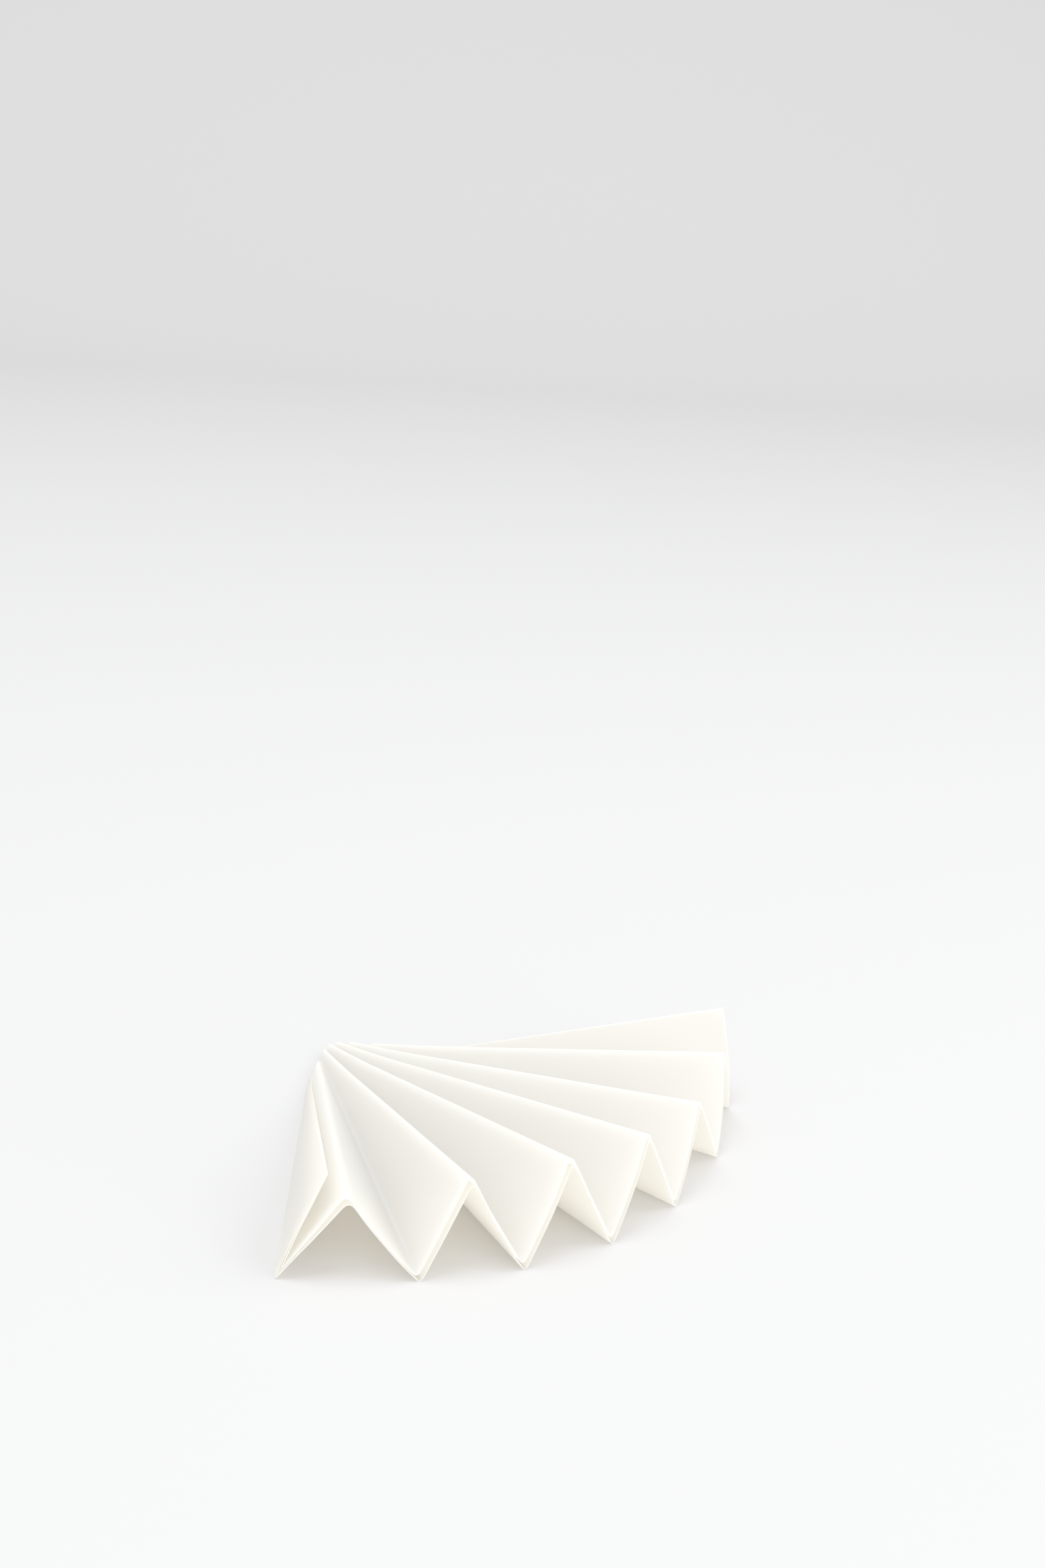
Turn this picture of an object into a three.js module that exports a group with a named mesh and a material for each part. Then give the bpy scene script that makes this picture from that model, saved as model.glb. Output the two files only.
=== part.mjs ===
// Folded filter paper: one round sheet, folded in half along a diameter and then pleated like a
// fan through both layers. The fan has sprung open and rests on a table on its valley creases.
// It shows a row of tents, with an end pleat standing up at each side, and a blunt zigzag tip.
// Lengths are millimetres. The mouths of the tents face -Y and the tip lies towards +Y.

import * as THREE from "three";
import { mergeVertices } from "three/addons/utils/BufferGeometryUtils.js";

const degrees = THREE.MathUtils.degToRad;
const mix = THREE.MathUtils.lerp;

// The flat sheet and its creases
const DISC_RADIUS = 120;
const PAPER_THICKNESS = 0.16;
// Every pleat is this wide where it meets the diameter fold, so the tip is blunt
const TIP_WIDTH = 3;
// The creases wander along the rim in a slow wave, as they do on a paper folded fast
const PLEAT_DRIFT = degrees(0.5);
const DRIFT_WAVE = 8;
const DRIFT_CREST = 7.5;

// The open fan: the angle on the table between the two valleys of each tent, from the left
const TENT_SPREADS = [16, 11, 10.5, 10.5, 12.5, 13.5].map(degrees);
// The angle between each standing end pleat and the tent beside it
const FIRST_GROOVE = degrees(14.5);
const LAST_GROOVE = degrees(50);

// Centre to centre of the two layers: at the fold, and at the rim where they lie close or gape
const FOLD_GAP = 0.3;
const CLOSE_GAP = 0.4;
const GAPING_GAP = 1.4;

// The paper bends round each crease over this width of each neighbouring pleat
const CREASE_ROUNDING = 2.2;
const CREASE_SHARE = 0.3;

// How finely the surface is divided
const COLUMNS_IN_PLEAT = 3;
const ROWS_TO_RIM = 5;
const ROWS_ROUND_FOLD = 4;
const SEATING_PASSES = 4;

const TENTS = TENT_SPREADS.length;
const PLEATS = 2 * TENTS + 2;
const HALF_FOLD = FOLD_GAP / 2;
const HALF_PAPER = PAPER_THICKNESS / 2;

// Crease i of the flat half disc, with the disc's centre at the origin, the diameter fold along x
// and the rim above it. Odd creases are valleys and even ones ridges. The first and the last entry
// are the two corners of the half disc, where the fold meets the rim.
function rimAngle(i) {
  const even = Math.PI * (1 - i / PLEATS);
  const corner = i === 0 || i === PLEATS;
  return corner ? even : even - PLEAT_DRIFT * Math.cos((2 * Math.PI * (i - DRIFT_CREST)) / DRIFT_WAVE);
}

function rimPoint(angle) {
  return new THREE.Vector2(Math.cos(angle), Math.sin(angle)).multiplyScalar(DISC_RADIUS);
}

// How far along the first line two flat lines meet
function reachToMeeting(point, way, otherPoint, otherWay) {
  return otherPoint.clone().sub(point).cross(otherWay) / way.cross(otherWay);
}

function flatCreases() {
  const creases = [];
  for (let i = 0; i <= PLEATS; i++) {
    const rim = rimPoint(rimAngle(i));
    creases.push({ rim, tip: rim.clone() });
  }
  // A pleat crosses the fold at its own slant, so it takes its width over the sine of that slant
  const middle = PLEATS / 2;
  const crossing = { [middle]: 0 };
  for (let i = middle; i < PLEATS - 1; i++) {
    const slant = (Math.PI * (PLEATS - i - 0.5)) / PLEATS;
    crossing[i + 1] = crossing[i] + TIP_WIDTH / Math.sin(slant);
    crossing[PLEATS - i - 1] = -crossing[i + 1];
  }
  for (let i = 1; i < PLEATS; i += 2) {
    creases[i].tip = new THREE.Vector2(crossing[i], 0);
    creases[i].way = creases[i].rim.clone().sub(creases[i].tip).normalize();
  }
  // The three creases of a tent point at one spot behind the tip, so its two pleats fold flat
  for (let i = 2; i < PLEATS; i += 2) {
    const [left, ridge, right] = [creases[i - 1], creases[i], creases[i + 1]];
    const back = reachToMeeting(left.tip, left.way, right.tip, right.way);
    ridge.spot = left.tip.clone().addScaledVector(left.way, back);
    ridge.way = ridge.rim.clone().sub(ridge.spot).normalize();
    ridge.tip = ridge.spot.clone().addScaledVector(ridge.way, -ridge.spot.y / ridge.way.y);
  }
  for (const crease of creases) crease.length = crease.rim.distanceTo(crease.tip);
  return creases;
}

// The creases of the open fan. The valleys lie on the table, and each ridge stands where both of
// its pleats keep their flat width: its cosines to the two valleys are those of the flat sheet.
function openCreases(creases) {
  const spread = TENT_SPREADS.reduce((sum, angle) => sum + angle, 0);
  let azimuth = -Math.PI / 2 - spread / 2;
  const lines = [];
  lines[1] = { tip: new THREE.Vector3(), way: new THREE.Vector3(Math.cos(azimuth), Math.sin(azimuth), 0) };
  for (let tent = 0; tent < TENTS; tent++) {
    const i = 2 * tent + 2;
    const [left, ridge, right] = [creases[i - 1], creases[i], creases[i + 1]];
    azimuth += TENT_SPREADS[tent];
    const leftWay = lines[i - 1].way;
    const rightWay = new THREE.Vector3(Math.cos(azimuth), Math.sin(azimuth), 0);
    const spot = lines[i - 1].tip.clone().addScaledVector(leftWay, -left.tip.distanceTo(ridge.spot));
    const rightTip = spot.clone().addScaledVector(rightWay, right.tip.distanceTo(ridge.spot));
    const spreadCosine = Math.cos(TENT_SPREADS[tent]);
    const leftCosine = ridge.way.dot(left.way);
    const rightCosine = ridge.way.dot(right.way);
    const sineSquared = 1 - spreadCosine ** 2;
    const ridgeWay = new THREE.Vector3()
      .addScaledVector(leftWay, (leftCosine - spreadCosine * rightCosine) / sineSquared)
      .addScaledVector(rightWay, (rightCosine - spreadCosine * leftCosine) / sineSquared);
    ridgeWay.z = Math.sqrt(1 - ridgeWay.lengthSq());
    const ridgeTip = spot.clone().addScaledVector(ridgeWay, ridge.tip.distanceTo(ridge.spot));
    lines[i] = { tip: ridgeTip, way: ridgeWay };
    lines[i + 1] = { tip: rightTip, way: rightWay };
  }
  return lines;
}

// The plane that pleat k lies in, as a map from the flat sheet to the open fan. Each map is set out
// from one crease of the pleat: its line, and the way square to it towards the other crease.
function pleatPlane(flatCrease, flatOther, line, across) {
  const flatAcross = flatOther.clone().sub(flatCrease.tip);
  flatAcross.addScaledVector(flatCrease.way, -flatAcross.dot(flatCrease.way)).normalize();
  const turned = (flat) =>
    new THREE.Vector3()
      .addScaledVector(line.way, flat.dot(flatCrease.way))
      .addScaledVector(across, flat.dot(flatAcross));
  return { turned, beyond: turned(new THREE.Vector2(0, -1)) };
}

function pleatPlanes(creases, lines) {
  const planes = [];
  const acrossFrom = (i, other) => {
    const across = lines[other].way.clone();
    return across.addScaledVector(lines[i].way, -across.dot(lines[i].way)).normalize();
  };
  for (let k = 1; k < PLEATS - 1; k++) {
    const across = acrossFrom(k, k + 1);
    planes[k] = pleatPlane(creases[k], creases[k + 1].rim, lines[k], across);
    planes[k].up = lines[k].way.clone().cross(across);
  }
  const last = PLEATS - 1;
  const firstAcross = acrossFrom(1, 2).applyAxisAngle(lines[1].way, FIRST_GROOVE);
  planes[0] = pleatPlane(creases[1], creases[0].rim, lines[1], firstAcross);
  planes[0].up = firstAcross.clone().cross(lines[1].way);
  const lastAcross = acrossFrom(last, last - 1).applyAxisAngle(lines[last].way, -LAST_GROOVE);
  planes[last] = pleatPlane(creases[last], creases[last + 1].rim, lines[last], lastAcross);
  planes[last].up = lines[last].way.clone().cross(lastAcross);
  // The two corners, at the far ends of the diameter fold
  const cornerOf = (i, k) => {
    const arm = creases[i].tip.clone().sub(creases[k].tip);
    const plane = i === 0 ? planes[0] : planes[last];
    return { tip: lines[k].tip.clone().add(plane.turned(arm)), way: new THREE.Vector3() };
  };
  lines[0] = cornerOf(0, 1);
  lines[PLEATS] = cornerOf(PLEATS, last);
  return planes;
}

// The rows of the double layer, from the rim of the lower layer in to the fold, round it, and out
// along the upper layer to its rim. Reach runs from 0 at the fold to 1 at the rim, side from -1 on
// the lower layer to 1 on the upper one, and bulge is how far a row stands out beyond the fold.
function layerRows() {
  const rows = [];
  for (let r = ROWS_TO_RIM; r > 0; r--) rows.push({ reach: r / ROWS_TO_RIM, side: -1, bulge: 0 });
  for (let r = 0; r <= ROWS_ROUND_FOLD; r++) {
    const turn = (Math.PI * r) / ROWS_ROUND_FOLD;
    rows.push({ reach: 0, side: -Math.cos(turn), bulge: Math.sin(turn) });
  }
  for (let r = 1; r <= ROWS_TO_RIM; r++) rows.push({ reach: r / ROWS_TO_RIM, side: 1, bulge: 0 });
  return rows;
}

// How far a row lies above the flat middle of the fold, on one pleat beside crease i. The upper
// layer leaves the lower one towards the rim. It gapes on the left face of every tent, except down
// in the first groove, where the end pleat holds it.
function layerRise(i, pleat, row) {
  const risesToRidge = pleat % 2 === 1 && pleat < PLEATS - 1;
  const rimGap = risesToRidge && i > 1 ? GAPING_GAP : CLOSE_GAP;
  const lift = row.side > 0 ? row.reach * (rimGap - FOLD_GAP) : 0;
  return row.side * HALF_FOLD + lift;
}

// The middle of the paper at crease i, sharp, before the bend is rounded. The layer above or below
// keeps its distance to both pleats, so it is moved along the bisector of the two planes.
function sharpPoint(i, row, fan) {
  const { creases, lines, planes } = fan;
  const point = lines[i].tip.clone();
  if (i === 0 || i === PLEATS) {
    const plane = planes[Math.min(i, PLEATS - 1)];
    point.addScaledVector(plane.beyond, row.bulge * HALF_FOLD);
    return point.addScaledVector(plane.up, row.side * HALF_FOLD);
  }
  const slant = creases[i].way.y;
  point.addScaledVector(lines[i].way, row.reach * creases[i].length - (row.bulge * HALF_FOLD) / slant);
  const left = planes[i - 1].up;
  const right = planes[i].up;
  const cosine = left.dot(right);
  const leftRise = layerRise(i, i - 1, row);
  const rightRise = layerRise(i, i, row);
  const sineSquared = 1 - cosine ** 2;
  point.addScaledVector(left, (leftRise - cosine * rightRise) / sineSquared);
  return point.addScaledVector(right, (rightRise - cosine * leftRise) / sineSquared);
}

// How far into pleat k the bend at crease i reaches, as a share of the pleat's width in this row
function bendShare(k, i, row, fan) {
  const crease = fan.creases[i];
  const other = fan.creases[i === k ? k + 1 : k];
  const across = other.tip.clone().lerp(other.rim, row.reach).sub(crease.tip);
  return Math.min(CREASE_ROUNDING / Math.abs(across.cross(crease.way)), CREASE_SHARE);
}

// A point of pleat k at a share of the way from its left crease to its right one. Between the
// creases the rim follows the circle, which stands out from the straight line between them.
function pleatPoint(k, share, row, fan) {
  const { creases, planes } = fan;
  const flatRim = rimPoint(mix(rimAngle(k), rimAngle(k + 1), share));
  const bulge = flatRim.sub(creases[k].rim.clone().lerp(creases[k + 1].rim, share));
  const point = sharpPoint(k, row, fan).lerp(sharpPoint(k + 1, row, fan), share);
  point.addScaledVector(planes[k].turned(bulge), row.reach);
  return { point, up: planes[k].up, beyond: planes[k].beyond };
}

// The rounded crease i: halfway between the sharp crease and the middle of the bend's two edges
function creasePoint(i, row, fan) {
  const left = pleatPoint(i - 1, 1 - bendShare(i - 1, i, row, fan), row, fan);
  const right = pleatPoint(i, bendShare(i, i, row, fan), row, fan);
  const point = left.point.lerp(right.point, 0.5).lerp(sharpPoint(i, row, fan), 0.5);
  const up = left.up.clone().add(right.up).normalize();
  const beyond = left.beyond.clone().add(right.beyond).normalize();
  return { point, up, beyond };
}

// The height of the paper's underside at valley i, in a row of the lower layer
function underside(i, row, fan) {
  const { point, up } = creasePoint(i, row, fan);
  return point.z - HALF_PAPER * up.z;
}

// Moves each valley up or down until its underside touches the table at the rim and at the tip. A
// bend also hangs on the creases beside it, so the valleys settle in a few passes.
function seatValleys(fan) {
  const atRim = { reach: 1, side: -1, bulge: 0 };
  const atTip = { reach: 0, side: -1, bulge: 0 };
  for (let pass = 0; pass < SEATING_PASSES; pass++) {
    for (let i = 1; i < PLEATS; i += 2) {
      const line = fan.lines[i];
      const tipHeight = underside(i, atTip, fan);
      const rimHeight = underside(i, atRim, fan);
      line.tip.z -= tipHeight;
      line.way.z -= (rimHeight - tipHeight) / fan.creases[i].length;
    }
  }
}

// The columns of the surface from the left corner to the right one, each a function of the row
function surfaceColumns(fan) {
  const columns = [(row) => pleatPoint(0, 0, row, fan)];
  for (let k = 0; k < PLEATS; k++) {
    const startShare = (row) => (k === 0 ? 0 : bendShare(k, k, row, fan));
    const endShare = (row) => (k === PLEATS - 1 ? 1 : 1 - bendShare(k, k + 1, row, fan));
    if (k > 0) {
      columns.push((row) => creasePoint(k, row, fan));
      columns.push((row) => pleatPoint(k, startShare(row), row, fan));
    }
    for (let c = 1; c <= COLUMNS_IN_PLEAT + 1; c++) {
      const along = c / (COLUMNS_IN_PLEAT + 1);
      columns.push((row) => pleatPoint(k, mix(startShare(row), endShare(row), along), row, fan));
    }
  }
  return columns;
}

// The closed skin of the paper: the outside and the inside of the double layer, half the paper's
// thickness either side of its middle, joined along the cut rim and closed at the two corners
function paperGeometry() {
  const creases = flatCreases();
  const lines = openCreases(creases);
  const fan = { creases, lines, planes: pleatPlanes(creases, lines) };
  seatValleys(fan);
  const rows = layerRows();
  const columns = surfaceColumns(fan);
  const positions = [];
  for (const face of [1, -1]) {
    for (const row of rows) {
      for (const column of columns) {
        const { point, up, beyond } = column(row);
        point.addScaledVector(up, face * HALF_PAPER * row.side);
        point.addScaledVector(beyond, face * HALF_PAPER * row.bulge);
        positions.push(...point.toArray());
      }
    }
  }
  const outside = (r, c) => r * columns.length + c;
  const inside = (r, c) => (rows.length + r) * columns.length + c;
  const triangles = [];
  const quad = (a, b, c, d) => triangles.push(a, b, c, a, c, d);
  const lastRow = rows.length - 1;
  const lastColumn = columns.length - 1;
  for (let c = 0; c < lastColumn; c++) {
    for (let r = 0; r < lastRow; r++) {
      quad(outside(r, c), outside(r + 1, c), outside(r + 1, c + 1), outside(r, c + 1));
      quad(inside(r, c), inside(r, c + 1), inside(r + 1, c + 1), inside(r + 1, c));
    }
    quad(outside(0, c), outside(0, c + 1), inside(0, c + 1), inside(0, c));
    quad(outside(lastRow, c + 1), outside(lastRow, c), inside(lastRow, c), inside(lastRow, c + 1));
  }
  for (let r = 0; r < lastRow; r++) {
    quad(outside(r + 1, 0), outside(r, 0), inside(r, 0), inside(r + 1, 0));
    quad(outside(r, lastColumn), outside(r + 1, lastColumn), inside(r + 1, lastColumn), inside(r, lastColumn));
  }
  const sheet = new THREE.BufferGeometry();
  sheet.setAttribute("position", new THREE.Float32BufferAttribute(positions, 3));
  sheet.setIndex(triangles);
  return standOnOrigin(withoutSlivers(mergeVertices(sheet, 1e-4)));
}

// The rows of each layer run together at the two corners, which leaves triangles of no area
function withoutSlivers(sheet) {
  const kept = [];
  const index = sheet.index.array;
  for (let t = 0; t < index.length; t += 3) {
    const [a, b, c] = [index[t], index[t + 1], index[t + 2]];
    if (a !== b && b !== c && c !== a) kept.push(a, b, c);
  }
  sheet.setIndex(kept);
  return sheet;
}

// The origin is the middle of the paper's outline on the table
function standOnOrigin(sheet) {
  sheet.computeBoundingBox();
  const middle = sheet.boundingBox.getCenter(new THREE.Vector3());
  sheet.translate(-middle.x, -middle.y, -sheet.boundingBox.min.z);
  sheet.computeVertexNormals();
  return sheet;
}

const paper = new THREE.MeshStandardMaterial({
  color: 0xf1eee6,
  roughness: 0.92,
  metalness: 0,
});

const filterPaper = new THREE.Mesh(paperGeometry(), paper);
filterPaper.name = "filter_paper";

const part = new THREE.Group();
part.add(filterPaper);

export default part;
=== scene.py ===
# %% [markdown]
# # A folded filter paper
# The real object is one round sheet of soft white paper. It was folded in half, then pleated like
# a fan through both layers, and it has sprung open and stands on its creases. This script keeps
# the solid model as its frame and dresses it with a finer sheet that follows the same folds.

# %% Load the frame
import math

import bmesh
import bpy
import numpy as np
from mathutils import Matrix, Vector


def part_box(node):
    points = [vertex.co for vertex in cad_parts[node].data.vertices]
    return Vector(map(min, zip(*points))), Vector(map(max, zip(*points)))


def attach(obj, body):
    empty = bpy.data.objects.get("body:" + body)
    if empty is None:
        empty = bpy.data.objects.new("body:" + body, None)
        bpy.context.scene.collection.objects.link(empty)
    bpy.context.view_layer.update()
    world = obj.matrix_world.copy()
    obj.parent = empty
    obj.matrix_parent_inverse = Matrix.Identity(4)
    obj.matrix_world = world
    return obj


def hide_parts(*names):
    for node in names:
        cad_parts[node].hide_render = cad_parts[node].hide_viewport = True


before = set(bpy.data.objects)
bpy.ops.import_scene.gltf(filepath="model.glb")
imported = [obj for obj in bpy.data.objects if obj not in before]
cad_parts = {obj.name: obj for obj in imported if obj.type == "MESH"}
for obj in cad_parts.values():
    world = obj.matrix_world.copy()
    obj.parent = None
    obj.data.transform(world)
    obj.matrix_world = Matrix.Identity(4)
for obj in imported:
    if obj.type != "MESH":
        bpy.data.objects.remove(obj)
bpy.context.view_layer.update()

# %% [markdown]
# ## The sheet and its folds
# All lengths here are millimetres and become metres only in the mesh. The values are those that
# the solid model was driven with, so the finer sheet lands on the same creases.

# %% Sizes of the sheet
MM = 0.001
DISC_RADIUS = 120.0
PAPER_THICKNESS = 0.16
TIP_WIDTH = 3.0
PLEAT_DRIFT = math.radians(0.5)
DRIFT_WAVE = 8.0
DRIFT_CREST = 7.5
TENT_SPREADS = np.radians([16.0, 11.0, 10.5, 10.5, 12.5, 13.5])
FIRST_GROOVE = math.radians(14.5)
LAST_GROOVE = math.radians(50.0)
FOLD_GAP = 0.3
CLOSE_GAP = 0.4
GAPING_GAP = 1.4
RIDGE_ROUNDING = 2.2
VALLEY_ROUNDING = 1.7
CREASE_SHARE = 0.3

TENTS = len(TENT_SPREADS)
PLEATS = 2 * TENTS + 2
HALF_FOLD = FOLD_GAP / 2
HALF_PAPER = PAPER_THICKNESS / 2
print(f"{PLEATS} pleats of {180 / PLEATS:.2f} degrees in a disc of {2 * DISC_RADIUS:.0f} mm")


# %% [markdown]
# ## The crease pattern on the flat sheet
# Odd creases are valleys and even ones ridges. The two valleys and the ridge of a tent point at
# one spot behind the tip, which is what lets a tent fold flat again.

# %% The flat creases
def unit(v):
    """A vector, or each row of an array, divided by its length."""
    return v / np.linalg.norm(v, axis=-1, keepdims=True)


def cross_flat(a, b):
    """The flat cross product: how far b turns from a, times both lengths."""
    return a[..., 0] * b[..., 1] - a[..., 1] * b[..., 0]


def on_rim(angle):
    """The point of the circle at an angle: the radius times its cosine and sine."""
    return DISC_RADIUS * np.stack([np.cos(angle), np.sin(angle)], axis=-1)


def flat_creases():
    """Rim angle, rim point, tip and direction of each crease of the half disc.

    Creases share the half circle evenly, apart from a slow wave. Each pleat crosses the diameter
    at its own slant, so it takes the tip width divided by the sine of that slant."""
    order = np.arange(PLEATS + 1)
    angle = np.pi * (1 - order / PLEATS)
    wave = PLEAT_DRIFT * np.cos(2 * np.pi * (order - DRIFT_CREST) / DRIFT_WAVE)
    angle[1:-1] -= wave[1:-1]
    rim = on_rim(angle)
    tip = rim.copy()
    slant = np.pi * (PLEATS / 2 - np.arange(PLEATS // 2 - 1) - 0.5) / PLEATS
    crossing = np.cumsum(TIP_WIDTH / np.sin(slant))
    tip[1:-1, 0] = np.concatenate([-crossing[::-1], [0.0], crossing])
    tip[1:-1, 1] = 0.0
    way = np.zeros_like(rim)
    way[1:-1] = unit(rim[1:-1] - tip[1:-1])
    left, right = way[1:-2:2], way[3::2]
    back = cross_flat(tip[3::2] - tip[1:-2:2], right) / cross_flat(left, right)
    spot = tip[1:-2:2] + left * back[:, None]
    way[2:-1:2] = unit(rim[2:-1:2] - spot)
    ridge = way[2:-1:2]
    tip[2:-1:2] = spot - ridge * (spot[:, 1] / ridge[:, 1])[:, None]
    return angle, rim, tip, way, spot


rim_angle, flat_rim, flat_tip, flat_way, flat_spot = flat_creases()
flat_length = np.linalg.norm(flat_rim - flat_tip, axis=1)
print("lengths of the creases, mm", flat_length.round(1))


# %% [markdown]
# ## Opening the fan
# The valleys lie on the table. A ridge stands where both of its pleats keep their flat width, so
# its cosines to its two valleys are the ones of the flat sheet. That fixes its height.

# %% The open creases
def open_creases():
    """Tip and direction of each crease in space, from the left.

    The ridge is a mix of its two valley directions plus whatever height makes it a unit long."""
    tip = np.zeros((PLEATS + 1, 3))
    way = np.zeros((PLEATS + 1, 3))
    azimuth = -np.pi / 2 - TENT_SPREADS.sum() / 2
    way[1] = [math.cos(azimuth), math.sin(azimuth), 0]
    for tent, spread in enumerate(TENT_SPREADS):
        i = 2 * tent + 2
        azimuth += spread
        way[i + 1] = [math.cos(azimuth), math.sin(azimuth), 0]
        to_spot = np.linalg.norm(flat_tip[i - 1 : i + 2] - flat_spot[tent], axis=1)
        spot = tip[i - 1] - way[i - 1] * to_spot[0]
        tip[i + 1] = spot + way[i + 1] * to_spot[2]
        left = flat_way[i] @ flat_way[i - 1]
        right = flat_way[i] @ flat_way[i + 1]
        between = math.cos(spread)
        flat_part = (left - between * right) * way[i - 1] + (right - between * left) * way[i + 1]
        way[i] = flat_part / (1 - between**2)
        way[i, 2] = math.sqrt(1 - way[i] @ way[i])
        tip[i] = spot + way[i] * to_spot[1]
    return tip, way


open_tip, open_way = open_creases()
print("ridge heights at the rim, mm", (open_way[2:-1:2, 2] * flat_length[2:-1:2]).round(1))


# %% [markdown]
# ## The plane of each pleat
# A pleat is flat between its creases. Its plane is given by the direction along one crease and
# the direction square to it. The two end pleats are turned up about their own valleys.

# %% Pleat planes
def square_to(way, other):
    """What is left of other once its share along way is taken out, a unit long."""
    return unit(other - way * np.sum(way * other, axis=-1, keepdims=True))


def turn_about(axis, angle, v):
    """v turned about an axis that is square to it: cosine of v plus sine of axis cross v."""
    return math.cos(angle) * v + math.sin(angle) * np.cross(axis, v)


def pleat_planes():
    """The directions along, across and up in each pleat, flat and in space.

    A pleat runs along the crease it starts from and across towards the crease at its end."""
    start = np.array([1] + list(range(1, PLEATS)))
    end = np.array([0] + list(range(2, PLEATS + 1)))
    along = open_way[start]
    across = np.zeros((PLEATS, 3))
    across[1:-1] = square_to(along[1:-1], open_way[end[1:-1]])
    across[0] = turn_about(along[0], FIRST_GROOVE, square_to(along[0], open_way[2]))
    across[-1] = turn_about(along[-1], -LAST_GROOVE, square_to(along[-1], open_way[PLEATS - 2]))
    up = np.cross(along, across)
    up[0] = -up[0]
    flat_along = flat_way[start]
    flat_across = square_to(flat_along, flat_rim[end] - flat_tip[start])
    return along, across, up, flat_along, flat_across


along, across, up, flat_along, flat_across = pleat_planes()


def into_space(k, flat):
    """A flat step of pleat k as a step in space: its shares along and across, added up."""
    return flat @ flat_along[k][:, None] * along[k] + flat @ flat_across[k][:, None] * across[k]


beyond = np.array([into_space(k, np.array([0.0, -1.0])) for k in range(PLEATS)])
for corner, k, hinge in ((0, 0, 1), (PLEATS, PLEATS - 1, PLEATS - 1)):
    open_tip[corner] = open_tip[hinge] + into_space(k, flat_tip[corner] - flat_tip[hinge])
print("left corner", open_tip[0].round(1), "right corner", open_tip[-1].round(1))


# %% [markdown]
# ## Rows of the double layer
# A row goes from corner to corner. The rows start at the rim of the lower layer, run in to the
# diameter fold, round it, and back out along the upper layer. The upper layer leaves the lower
# one towards the rim and gapes on the left face of each tent.

# %% Rows and layers
class Rows:
    """Reach from 0 at the fold to 1 at the rim, side from -1 below to 1 above, and bulge."""

    def __init__(self, reach, side, bulge):
        self.reach = np.asarray(reach, float)
        self.side = np.asarray(side, float)
        self.bulge = np.asarray(bulge, float)


def double_layer(rows_to_rim, rows_round_fold):
    """Rows that crowd at the rim and the fold, with a half turn of the fold between them."""
    out = (1 - np.cos(np.pi * np.arange(1, rows_to_rim + 1) / rows_to_rim)) / 2
    turn = np.pi * np.arange(rows_round_fold + 1) / rows_round_fold
    zeros = np.zeros(rows_to_rim)
    reach = np.concatenate([out[::-1], np.zeros(rows_round_fold + 1), out])
    side = np.concatenate([zeros - 1, -np.cos(turn), zeros + 1])
    bulge = np.concatenate([zeros, np.sin(turn), zeros])
    return Rows(reach, side, bulge)


def layer_rise(i, k, rows):
    """Height over the middle of the fold on pleat k beside crease i."""
    rises = k % 2 == 1 and k < PLEATS - 1
    rim_gap = GAPING_GAP if rises and i > 1 else CLOSE_GAP
    lift = np.where(rows.side > 0, rows.reach * (rim_gap - FOLD_GAP), 0.0)
    return rows.side * HALF_FOLD + lift


def sharp_points(rows):
    """Each crease in each row before it is rounded, as creases by rows by three.

    A layer keeps its distance to both pleats, so its crease moves along their bisector."""
    points = np.zeros((PLEATS + 1, len(rows.reach), 3))
    for i in range(1, PLEATS):
        reach = rows.reach * flat_length[i] - rows.bulge * HALF_FOLD / flat_way[i, 1]
        cosine = up[i - 1] @ up[i]
        left, right = layer_rise(i, i - 1, rows), layer_rise(i, i, rows)
        points[i] = open_tip[i] + reach[:, None] * open_way[i]
        points[i] += ((left - cosine * right) / (1 - cosine**2))[:, None] * up[i - 1]
        points[i] += ((right - cosine * left) / (1 - cosine**2))[:, None] * up[i]
    for i, k in ((0, 0), (PLEATS, PLEATS - 1)):
        out = rows.bulge[:, None] * beyond[k] + rows.side[:, None] * up[k]
        points[i] = open_tip[i] + HALF_FOLD * out
    return points


ROWS_TO_RIM = 44
ROWS_ROUND_FOLD = 8
rows = double_layer(ROWS_TO_RIM, ROWS_ROUND_FOLD)
rim_and_tip = Rows([1, 0], [-1, -1], [0, 0])
print(len(rows.reach), "rows, and a gap of", CLOSE_GAP, "to", GAPING_GAP, "mm at the rim")


# %% [markdown]
# ## Pleats and bends
# Between its creases a pleat is ruled, and at the rim it follows the circle. Round each crease
# the paper takes a smooth bend, a curve whose ends lie on the two pleats.

# %% Points of a pleat and of a bend
def bend_share(k, i, rows):
    """How far into pleat k the bend at crease i reaches: its width over the pleat's width."""
    other = k + 1 if i == k else k
    reach = rows.reach[:, None]
    width = (flat_tip[other] * (1 - reach) + flat_rim[other] * reach) - flat_tip[i]
    rounding = VALLEY_ROUNDING if i % 2 else RIDGE_ROUNDING
    return np.minimum(rounding / np.abs(cross_flat(width, flat_way[i])), CREASE_SHARE)


def circle_bulge(k, share):
    """How far the circle stands out from the straight line between two creases, flat."""
    angle = rim_angle[k] + (rim_angle[k + 1] - rim_angle[k]) * share
    straight = flat_rim[k] + (flat_rim[k + 1] - flat_rim[k]) * share[..., None]
    return on_rim(angle) - straight


def pleat_points(k, share, rows, sharp):
    """Points of pleat k, rows by columns by three, at the given shares of its width."""
    line = sharp[k][:, None] + (sharp[k + 1] - sharp[k])[:, None] * share[..., None]
    bulge = circle_bulge(k, share)
    out = (bulge @ flat_along[k])[..., None] * along[k]
    out = out + (bulge @ flat_across[k])[..., None] * across[k]
    return line + out * rows.reach[:, None, None]


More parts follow.
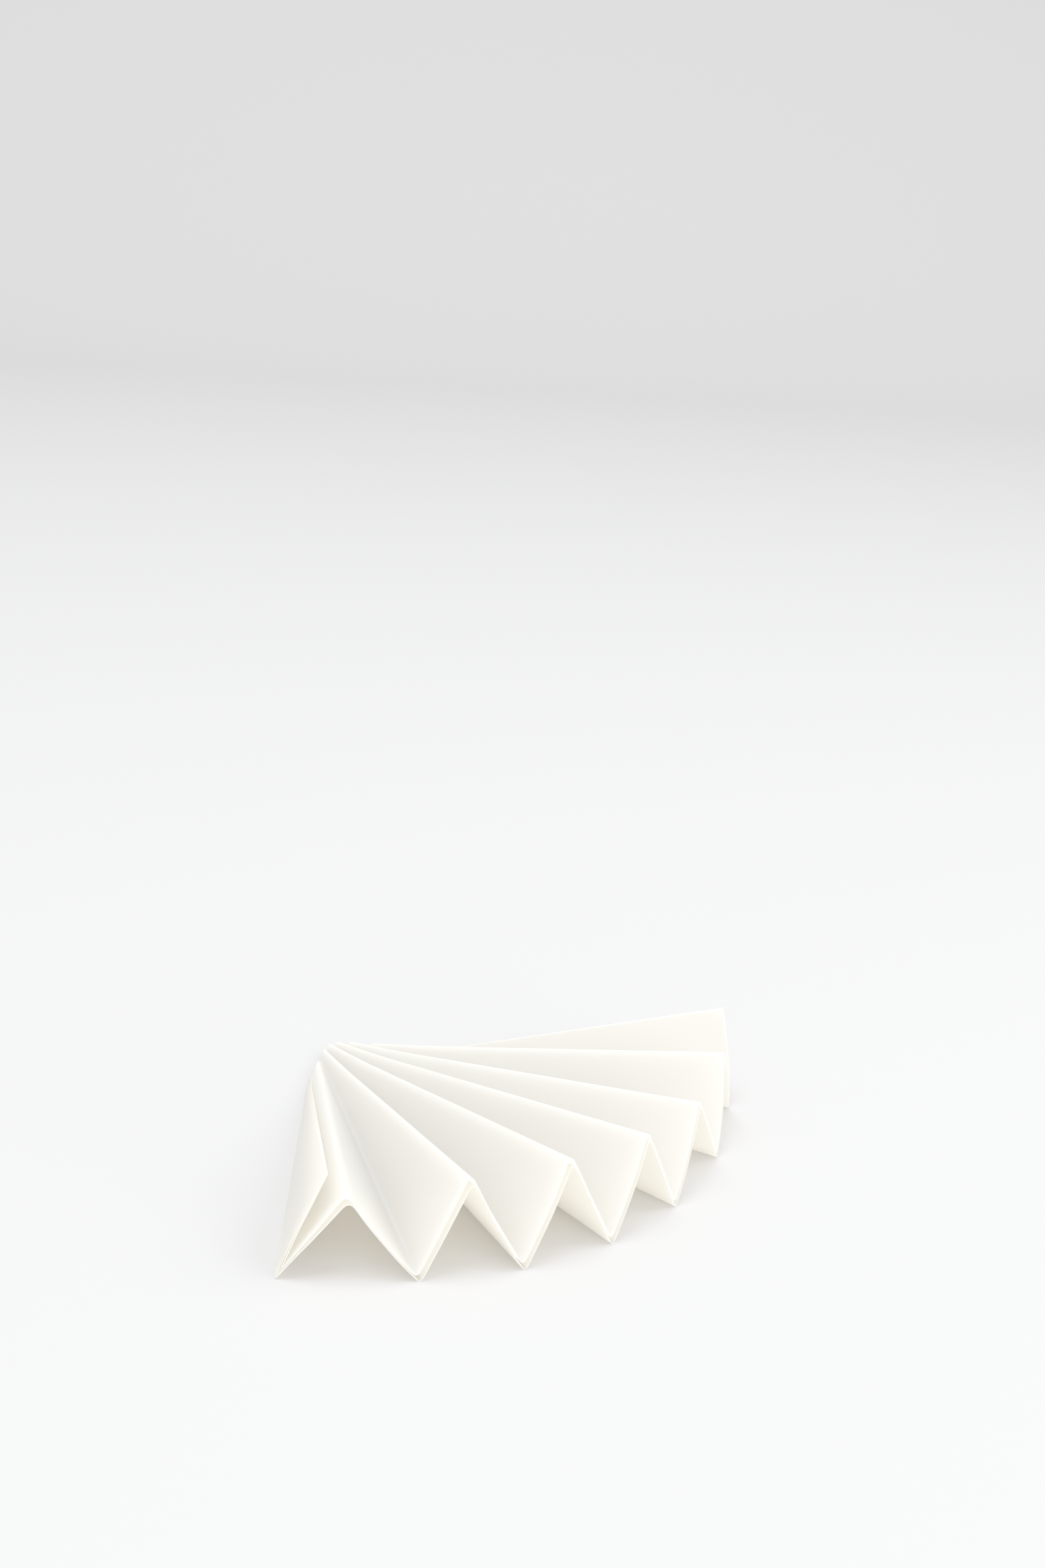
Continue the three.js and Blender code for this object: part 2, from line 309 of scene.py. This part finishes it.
def bend_points(i, steps, rows, sharp):
    """The bend at crease i: a curve pulled from one pleat to the next by the sharp crease."""
    t = ((np.arange(steps) + 1) / (steps + 1))[None, :, None]
    left = pleat_points(i - 1, 1 - bend_share(i - 1, i, rows)[:, None], rows, sharp)
    right = pleat_points(i, bend_share(i, i, rows)[:, None], rows, sharp)
    curve = (1 - t) ** 2 * left + 2 * t * (1 - t) * sharp[i][:, None] + t**2 * right
    normal = unit((1 - t) * up[i - 1] + t * up[i]) + np.zeros_like(curve)
    fold_way = unit((1 - t) * beyond[i - 1] + t * beyond[i]) + np.zeros_like(curve)
    return curve, normal, fold_way


shares = [bend_share(i, i, rim_and_tip)[0] for i in range(1, PLEATS)]
print(f"at the rim a bend takes {min(shares):.3f} to {max(shares):.3f} of the next pleat's width")


# %% [markdown]
# ## Seating the valleys
# A bend and the paper's thickness lift or sink a crease a little. Each valley is shifted until
# its underside touches the table at the rim and at the tip.

# %% Seat the fan on the table
SEATING_PASSES = 4
for seating in range(SEATING_PASSES):
    sharp_ends = sharp_points(rim_and_tip)
    for i in range(1, PLEATS, 2):
        curve, normal, fold_way = bend_points(i, 1, rim_and_tip, sharp_ends)
        rim_height, tip_height = (curve - HALF_PAPER * normal)[:, 0, 2]
        open_tip[i, 2] -= tip_height
        open_way[i, 2] -= (rim_height - tip_height) / flat_length[i]
print("valley tips after seating, mm", open_tip[1::2, 2].round(2))


# %% [markdown]
# ## The slack of the paper
# No pleat of a real paper is dead flat. Each one bows a little between its creases, most at the
# rim, and it carries long, very shallow waves. The bow is a half sine across the pleat.

# %% Slack
BOW = 0.45
FALLING_LEAN = -0.8
RISING_LEAN = 0.25
LEAN_VARIES = 0.25
LEAN_STEP = 2.3
LEAN_START = 0.7
WAVE_HEIGHT = 0.10
WAVES_ALONG = 7.0
WAVE_STEP_ALONG = 1.9
WAVE_STEP_ACROSS = 0.8


def slack(k, share, rows):
    """How far pleat k stands off its plane: a half sine across, growing towards the rim.

    The bow grows with the square of the reach and leans its own way on each pleat. The waves are
    a sine along the pleat times a sine across it, and each pleat starts them elsewhere."""
    reach = rows.reach[:, None]
    lean = FALLING_LEAN if k % 2 == 0 else RISING_LEAN
    lean += LEAN_VARIES * math.sin(LEAN_STEP * k + LEAN_START)
    waves = np.sin(WAVES_ALONG * reach + WAVE_STEP_ALONG * k)
    waves = waves * np.sin(2 * np.pi * share + WAVE_STEP_ACROSS * k)
    return np.sin(np.pi * share) * (BOW * lean * reach**2 + WAVE_HEIGHT * waves * reach)


bows = [slack(k, np.array([[0.5]]), rim_and_tip)[0, 0] for k in range(PLEATS)]
print(f"pleats stand off their planes by {min(bows):.2f} to {max(bows):.2f} mm at the rim")


# %% [markdown]
# ## The finished skin
# The columns of all pleats and bends stand side by side in one grid. Its outside and inside lie
# half the paper's thickness either side of the middle, and the cut rim closes them.

# %% Places on the flat sheet
def flat_place(k, share, rows):
    """Where a point of pleat k lay on the flat disc; the upper layer is the other half."""
    reach = rows.reach[:, None, None]
    left = flat_tip[k] + (flat_rim[k] - flat_tip[k]) * reach
    right = flat_tip[k + 1] + (flat_rim[k + 1] - flat_tip[k + 1]) * reach
    place = left + (right - left) * share[..., None] + circle_bulge(k, share) * reach
    place[..., 1] *= np.where(rows.side > 0, -1.0, 1.0)[:, None]
    return place


def bend_flat_place(i, steps, rows):
    """Flat places of a bend's columns: the first half on the left pleat, the rest on the right."""
    t = (np.arange(steps) + 1) / (steps + 1)
    start = 1 - bend_share(i - 1, i, rows)[:, None]
    left = start + (1 - start) * 2 * np.minimum(t, 0.5)
    right = bend_share(i, i, rows)[:, None] * 2 * np.maximum(t - 0.5, 0)
    on_left = t[:, None] <= 0.5
    return np.where(on_left, flat_place(i - 1, left, rows), flat_place(i, right, rows))


def free_of_bends(k, rows):
    """The first and last share of pleat k's width that no bend takes, in each row."""
    whole = np.ones((len(rows.reach), 1))
    first = 0 * whole if k == 0 else bend_share(k, k, rows)[:, None]
    last = whole if k == PLEATS - 1 else 1 - bend_share(k, k + 1, rows)[:, None]
    return first, last


first, last = free_of_bends(1, rim_and_tip)
print(f"the second pleat is free from {first[0, 0]:.2f} to {last[0, 0]:.2f} of its width at the rim")

# %% [markdown]
# Each pleat and each bend adds its columns to the grid. A pleat has the same number of columns in
# every row, so they run from the tip to the rim as fine rays.

# %% Build the grid
COLUMNS_IN_PLEAT = 11
COLUMNS_IN_BEND = 5


def sheet_grid(rows):
    """Middle of the paper, outward direction and flat place, each rows by columns."""
    sharp = sharp_points(rows)
    inner = np.linspace(0, 1, COLUMNS_IN_PLEAT)
    middle, outward, flat = [], [], []
    for k in range(PLEATS):
        if k > 0:
            curve, normal, fold_way = bend_points(k, COLUMNS_IN_BEND, rows, sharp)
            middle.append(curve)
            outward.append(normal * rows.side[:, None, None] + fold_way * rows.bulge[:, None, None])
            flat.append(bend_flat_place(k, COLUMNS_IN_BEND, rows))
        first, last = free_of_bends(k, rows)
        share = first + (last - first) * inner
        points = pleat_points(k, share, rows, sharp)
        middle.append(points + slack(k, inner, rows)[..., None] * up[k])
        out = rows.side[:, None] * up[k] + rows.bulge[:, None] * beyond[k]
        outward.append(out[:, None] + np.zeros_like(points))
        flat.append(flat_place(k, share, rows))
    return tuple(np.concatenate(x, axis=1) for x in (middle, outward, flat))


middle, outward, flat = sheet_grid(rows)
outside = middle + HALF_PAPER * outward
inside = middle - HALF_PAPER * outward
print("grid of", middle.shape[0], "rows and", middle.shape[1], "columns")

# %% [markdown]
# ## From the grid to a closed mesh
# Every four neighbours make a face. The outside and inside turn opposite ways, and strips along
# the rim and at the two corners join them, so the paper is one closed, thin body.

# %% Faces and mesh
def quads(grid, flip=False):
    """Faces between neighbouring rows and columns of an array of vertex numbers."""
    a, b = grid[:-1, :-1], grid[1:, :-1]
    c, d = grid[1:, 1:], grid[:-1, 1:]
    order = (a, d, c, b) if flip else (a, b, c, d)
    return np.stack(order, axis=-1).reshape(-1, 4)


def paper_mesh():
    """The closed sheet: vertices in millimetres, four-sided faces and places on the flat sheet."""
    count = outside[..., 0].size
    outer = np.arange(count).reshape(outside.shape[:2])
    inner = outer + count
    faces = [quads(outer), quads(inner, flip=True)]
    faces.append(quads(np.stack([inner[0], outer[0]])))
    faces.append(quads(np.stack([outer[-1], inner[-1]])))
    faces.append(quads(np.stack([inner[:, 0], outer[:, 0]], axis=1)))
    faces.append(quads(np.stack([outer[:, -1], inner[:, -1]], axis=1)))
    vertices = np.concatenate([outside.reshape(-1, 3), inside.reshape(-1, 3)])
    return vertices, np.concatenate(faces), np.concatenate([flat.reshape(-1, 2)] * 2)


vertices, faces, places = paper_mesh()
box_low, box_high = (np.array(corner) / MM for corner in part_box("filter_paper"))
middle_of_box = (vertices.min(0) + vertices.max(0)) / 2
to_origin = (box_low + box_high) / 2 - middle_of_box
to_origin[2] = -vertices[:, 2].min()
vertices += to_origin
print("finer sheet", vertices.min(0).round(2), vertices.max(0).round(2), "mm")
print("solid model", box_low.round(2), box_high.round(2), "mm")

# The flat map's unit is a tenth of a metre.
MAP_UNITS_IN_METRE = 10
mesh = bpy.data.meshes.new("pleated_paper")
mesh.from_pydata((vertices * MM).tolist(), [], faces.tolist())
mesh.polygons.foreach_set("use_smooth", np.ones(len(faces), bool))
skin_faces = (middle.shape[0] - 1) * (middle.shape[1] - 1)
is_inner = (np.arange(len(faces)) // skin_faces == 1).astype(int)
mesh.polygons.foreach_set("material_index", is_inner)
layer = mesh.uv_layers.new(name="flat_sheet")
vertex_of_corner = np.zeros(len(mesh.loops), int)
mesh.loops.foreach_get("vertex_index", vertex_of_corner)
layer.data.foreach_set("uv", (places[vertex_of_corner] * MM * MAP_UNITS_IN_METRE).ravel())
paper = bpy.data.objects.new("pleated_paper", mesh)
bpy.context.scene.collection.objects.link(paper)

# %% [markdown]
# At the two corners all rows run together, so those faces have no area. Merging what lies on one
# spot closes the skin there.

# %% Close the corners
SAME_SPOT = 0.5e-6

closing = bmesh.new()
closing.from_mesh(mesh)
bmesh.ops.remove_doubles(closing, verts=closing.verts, dist=SAME_SPOT)
bmesh.ops.dissolve_degenerate(closing, edges=closing.edges, dist=SAME_SPOT)
bmesh.ops.recalc_face_normals(closing, faces=closing.faces)
open_edges = sum(1 for edge in closing.edges if not edge.is_manifold)
volume = closing.calc_volume() / MM**3
print(len(closing.faces), "faces,", open_edges, "open edges and", round(volume), "cubic mm of paper")
closing.to_mesh(mesh)
closing.free()

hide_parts("filter_paper")
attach(paper, "root")


# %% [markdown]
# ## Paper
# Filter paper is soft, matt and slightly see-through. Seen close, it is a felt of fibres with
# paler and greyer clouds, and it lets warm light through. The maths of the material is written
# as plain expressions on a small wrapper, so a formula reads as it is thought.

# %% Sockets that can be added and multiplied
class Maker:
    """Adds nodes to one material and wraps their outputs."""

    def __init__(self, name):
        self.material = bpy.data.materials.new(name)
        self.material.use_nodes = True
        self.tree = self.material.node_tree
        self.tree.nodes.clear()

    def node(self, kind, settings=None, **values):
        """A node of a type: its settings first, then the values or links of its sockets.

        A socket goes by its name with underscores for spaces, or by i and its number."""
        made = self.tree.nodes.new(kind)
        for name, value in (settings or {}).items():
            setattr(made, name, value)
        for name, value in values.items():
            numbered = name[0] == "i" and name[1:].isdigit()
            socket = made.inputs[int(name[1:]) if numbered else name.replace("_", " ")]
            if isinstance(value, Wire):
                self.tree.links.new(value.socket, socket)
            else:
                socket.default_value = value
        return made


class Wire:
    """An output socket that takes part in sums and products."""

    def __init__(self, maker, socket):
        self.maker = maker
        self.socket = socket

    def math(self, operation, a, b):
        """A Math node on two sockets or numbers, as a new output."""
        made = self.maker.node("ShaderNodeMath", {"operation": operation}, i0=a, i1=b)
        return Wire(self.maker, made.outputs[0])

    def __add__(self, other):
        return self.math("ADD", self, other)

    def __mul__(self, other):
        return self.math("MULTIPLY", self, other)

    __radd__ = __add__
    __rmul__ = __mul__


# %% [markdown]
# A thin sheet of felt sends not quite half of the light back and lets the rest through, a little
# warmer. The outer skin splits the light between a matt surface and a translucent one. The skin
# that faces into the fold passes nearly all of it on, so that each sheet dims the light about
# once, as the one layer of felt that it is.

# %% The paper material
PAPER_WHITE = (0.965, 0.973, 0.985, 1.0)
PAPER_SHADE = (0.940, 0.942, 0.940, 1.0)
LIGHT_THROUGH = (0.995, 0.985, 0.962, 1.0)
SHARE_THROUGH = 0.63
LIGHT_THROUGH_INSIDE = (0.996, 0.949, 0.845, 1.0)
SHARE_THROUGH_INSIDE = 0.95
CLOUD_SCALE = 60.0
FIBRE_SCALE = 420.0
GRAIN_SCALE = 1600.0
FIBRE_TWIST = 2.5
CLOUD_IN_COLOUR = 0.6
FIBRE_IN_COLOUR = 0.4
CLOUD_IN_RELIEF = 0.5
FIBRE_IN_RELIEF = 0.35
GRAIN_IN_RELIEF = 0.15
RELIEF_DEPTH = 0.00012
LEAST_ROUGHNESS = 0.88
ROUGHNESS_VARIES = 0.06


def felt_paper(name, share_through, light_through):
    """Matt felt mixed with see-through felt, with clouds, fibres and grain over the flat sheet.

    Colour goes from shade to white with cloud and fibre, and the relief is a sum of all three."""
    maker = Maker(name)
    coordinates = maker.node("ShaderNodeTexCoord")
    sheet_place = Wire(maker, coordinates.outputs["UV"])

    def noise(scale, detail, distortion=0.0):
        made = maker.node(
            "ShaderNodeTexNoise",
            Vector=sheet_place,
            Scale=scale,
            Detail=detail,
            Roughness=0.6,
            Distortion=distortion,
        )
        return Wire(maker, made.outputs["Fac"])

    cloud = noise(CLOUD_SCALE, 3.0)
    fibre = noise(FIBRE_SCALE, 4.0, FIBRE_TWIST)
    grain = noise(GRAIN_SCALE, 2.0)
    mottle = cloud * CLOUD_IN_COLOUR + fibre * FIBRE_IN_COLOUR
    colour = maker.node(
        "ShaderNodeMix", {"data_type": "RGBA"}, i0=mottle, i6=PAPER_SHADE, i7=PAPER_WHITE
    )
    relief = cloud * CLOUD_IN_RELIEF + fibre * FIBRE_IN_RELIEF + grain * GRAIN_IN_RELIEF
    bump = maker.node("ShaderNodeBump", Strength=0.35, Distance=RELIEF_DEPTH, Height=relief)
    surface = Wire(maker, bump.outputs["Normal"])
    body = maker.node(
        "ShaderNodeBsdfPrincipled",
        Base_Color=Wire(maker, colour.outputs[2]),
        Roughness=cloud * ROUGHNESS_VARIES + LEAST_ROUGHNESS,
        Specular_IOR_Level=0.25,
        Normal=surface,
    )
    through = maker.node("ShaderNodeBsdfTranslucent", Color=light_through)
    both = maker.node(
        "ShaderNodeMixShader",
        i0=share_through,
        i1=Wire(maker, body.outputs[0]),
        i2=Wire(maker, through.outputs[0]),
    )
    maker.node("ShaderNodeOutputMaterial", Surface=Wire(maker, both.outputs[0]))
    print(name, "has", len(maker.tree.nodes), "nodes")
    return maker.material


outer_skin = felt_paper("filter_paper_felt", SHARE_THROUGH, LIGHT_THROUGH)
inner_skin = felt_paper("filter_paper_inner_skin", SHARE_THROUGH_INSIDE, LIGHT_THROUGH_INSIDE)
mesh.materials.append(outer_skin)
mesh.materials.append(inner_skin)

# %% [markdown]
# ## Floor, light and camera
# The paper stands on a plain pale floor that curves up far behind it. The floor is a little warm
# and the light a little cool, so bare floor looks white and the shaded floor in the tents tan.

# %% Floor
FLOOR_HALF_WIDTH = 3.0
FLOOR_FRONT = -8.0
FLOOR_BACK = 2.6
SWEEP_RADIUS = 0.8
SWEEP_STEPS = 24
WALL_TOP = 3.0
FLOOR_COLOUR = (0.555, 0.519, 0.491, 1.0)


def sweep_profile(steps):
    """Along the floor, up a quarter circle and on up the wall, as distance and height."""
    turn = np.linspace(0, np.pi / 2, steps)
    back = FLOOR_BACK - SWEEP_RADIUS + SWEEP_RADIUS * np.sin(turn)
    height = SWEEP_RADIUS * (1 - np.cos(turn))
    back = np.concatenate([[FLOOR_FRONT], back, [FLOOR_BACK]])
    height = np.concatenate([[0.0], height, [WALL_TOP]])
    return back, height


# The photograph is taken from this side of the paper, as a turn about the upright.
VIEW_TURN = math.radians(-39.8)
back, height = sweep_profile(SWEEP_STEPS)
side = np.array([-FLOOR_HALF_WIDTH, FLOOR_HALF_WIDTH])
profile = np.stack(np.broadcast_arrays(side[None, :], back[:, None], height[:, None]), axis=-1)
turned = np.array(Matrix.Rotation(VIEW_TURN, 3, "Z"))
floor_points = (profile @ turned.T).reshape(-1, 3)
floor_faces = quads(np.arange(len(floor_points)).reshape(profile.shape[:2]), flip=True)
floor_mesh = bpy.data.meshes.new("floor")
floor_mesh.from_pydata(floor_points.tolist(), [], floor_faces.tolist())
floor_mesh.polygons.foreach_set("use_smooth", np.ones(len(floor_faces), bool))
floor = bpy.data.objects.new("floor", floor_mesh)
bpy.context.scene.collection.objects.link(floor)
floor_maker = Maker("pale_floor")
floor_body = floor_maker.node("ShaderNodeBsdfPrincipled", Base_Color=FLOOR_COLOUR, Roughness=0.7)
floor_maker.node("ShaderNodeOutputMaterial", Surface=Wire(floor_maker, floor_body.outputs[0]))
floor_mesh.materials.append(floor_maker.material)
print("floor and wall of", len(floor_faces), "faces")


# %% [markdown]
# The camera was found by fitting the folds to the photograph. It is given in a frame that has
# the first valley's tip at a known spot, and is turned into the paper's own frame.

# %% Camera
FOCAL_PIXELS = 2717.0
PICTURE_HEIGHT = 2352.0
SENSOR = 36.0
PITCH = math.radians(18.38)
ROLL = math.radians(3.20)
EYE_HEIGHT = 239.4
FIRST_VALLEY_SPOT = np.array([-54.4, 446.4, 0.0])

valley_tip = open_tip[1] + to_origin
valley_tip[2] = 0.0
eye = turned @ (np.array([0.0, 0.0, EYE_HEIGHT]) - FIRST_VALLEY_SPOT) + valley_tip
forward = np.array([0.0, math.cos(PITCH), -math.sin(PITCH)])
level = np.array([1.0, 0.0, 0.0])
upright = np.array([0.0, math.sin(PITCH), math.cos(PITCH)])
rolled_right = math.cos(ROLL) * level + math.sin(ROLL) * upright
rolled_up = -math.sin(ROLL) * level + math.cos(ROLL) * upright
axes = turned @ np.stack([rolled_right, rolled_up, -forward], axis=1)
view = bpy.data.cameras.new("photo_view")
view.sensor_fit = "VERTICAL"
view.sensor_height = SENSOR
view.lens = FOCAL_PIXELS * SENSOR / PICTURE_HEIGHT
view.clip_start = 0.01
view.clip_end = 20.0
camera = bpy.data.objects.new("photo_view", view)
camera.matrix_world = Matrix.Translation(Vector(eye * MM)) @ Matrix(axes.tolist()).to_4x4()
bpy.context.scene.collection.objects.link(camera)
bpy.context.scene.camera = camera
print("camera at", (eye * MM).round(4), "lens", round(view.lens, 2))


# %% [markdown]
# Three soft squares of light stand for a ceiling, a window on the right and a low fill towards the
# open ends of the tents, and the sky of the studio fills in the rest. The gamma is raised, because
# the photograph shows whites that are bright and flat.

# %% Lights
LIGHT_COLOUR = (0.87, 0.937, 1.0)
SKY_STRENGTH = 1.0
DISPLAY_GAMMA = 2.0


def soft_light(name, where, size, power):
    """A square light that faces the paper: place right, away and up as the photograph sees it."""
    lamp = bpy.data.lights.new(name, "AREA")
    lamp.shape = "SQUARE"
    lamp.size = size
    lamp.energy = power
    lamp.color = LIGHT_COLOUR
    place = Vector(turned @ np.array(where))
    made = bpy.data.objects.new(name, lamp)
    made.location = place
    made.rotation_euler = (-place).to_track_quat("-Z", "Y").to_euler()
    made.visible_camera = False
    bpy.context.scene.collection.objects.link(made)
    print(name, "light of", power, "watts,", round(place.length, 2), "m away")


soft_light("ceiling", (-0.25, -0.1, 1.8), 1.0, 21.0)
soft_light("window", (1.2, 0.1, 1.1), 0.9, 9.0)
soft_light("fill", (0.85, -0.75, 0.35), 0.6, 4.5)
world = bpy.data.worlds.new("studio")
world.use_nodes = True
sky = world.node_tree.nodes["Background"]
sky.inputs["Color"].default_value = (*LIGHT_COLOUR, 1.0)
sky.inputs["Strength"].default_value = SKY_STRENGTH
bpy.context.scene.world = world
bpy.context.scene.view_settings.view_transform = "Standard"
bpy.context.scene.view_settings.gamma = DISPLAY_GAMMA
